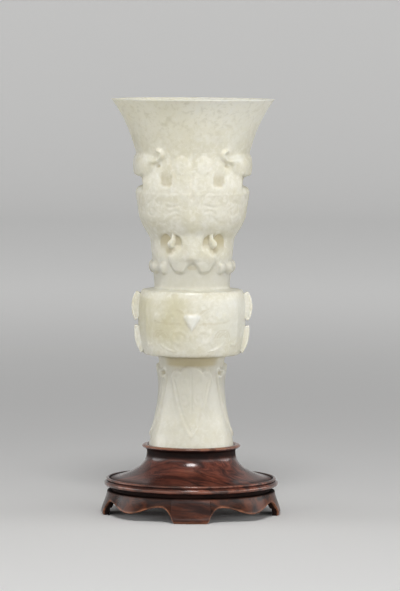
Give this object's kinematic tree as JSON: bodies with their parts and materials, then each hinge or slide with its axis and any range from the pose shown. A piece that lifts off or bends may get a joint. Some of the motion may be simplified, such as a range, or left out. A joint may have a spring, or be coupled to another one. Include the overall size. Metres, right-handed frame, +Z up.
{
  "type": "jade vase on stand",
  "caption": "Beaker-shaped carved jade vase with a flared mouth, a horned mask on the neck and a finned drum, standing in a turned hardwood stand on bracket legs.",
  "frame": {"origin": "on the surface that the stand's feet rest on, under the middle of the stand", "axes": "+Z up along the vase's axis; -Y is the front, where the pictured mask faces; +X is to the viewer's right"},
  "size_m": [0.09, 0.09, 0.208],
  "materials": {
    "jade": "polished, cloudy, slightly translucent",
    "top_wood": "polished dark hardwood",
    "leg_wood": "polished dark hardwood",
    "apron_wood": "polished dark hardwood"
  },
  "bodies": {
    "stand": {"stand_top": "top_wood", "leg_front": "leg_wood", "leg_right": "leg_wood", "leg_back": "leg_wood", "leg_left": "leg_wood", "apron_front_right": "apron_wood", "apron_back_right": "apron_wood", "apron_back_left": "apron_wood", "apron_front_left": "apron_wood"},
    "vase": {"jade_vase": "jade"}
  },
  "joints": [
    {"name": "vase_lift", "type": "slide", "parent": "stand", "child": "vase", "axis": [0, 0, 1], "range_m": [0, 0.03]}
  ]
}
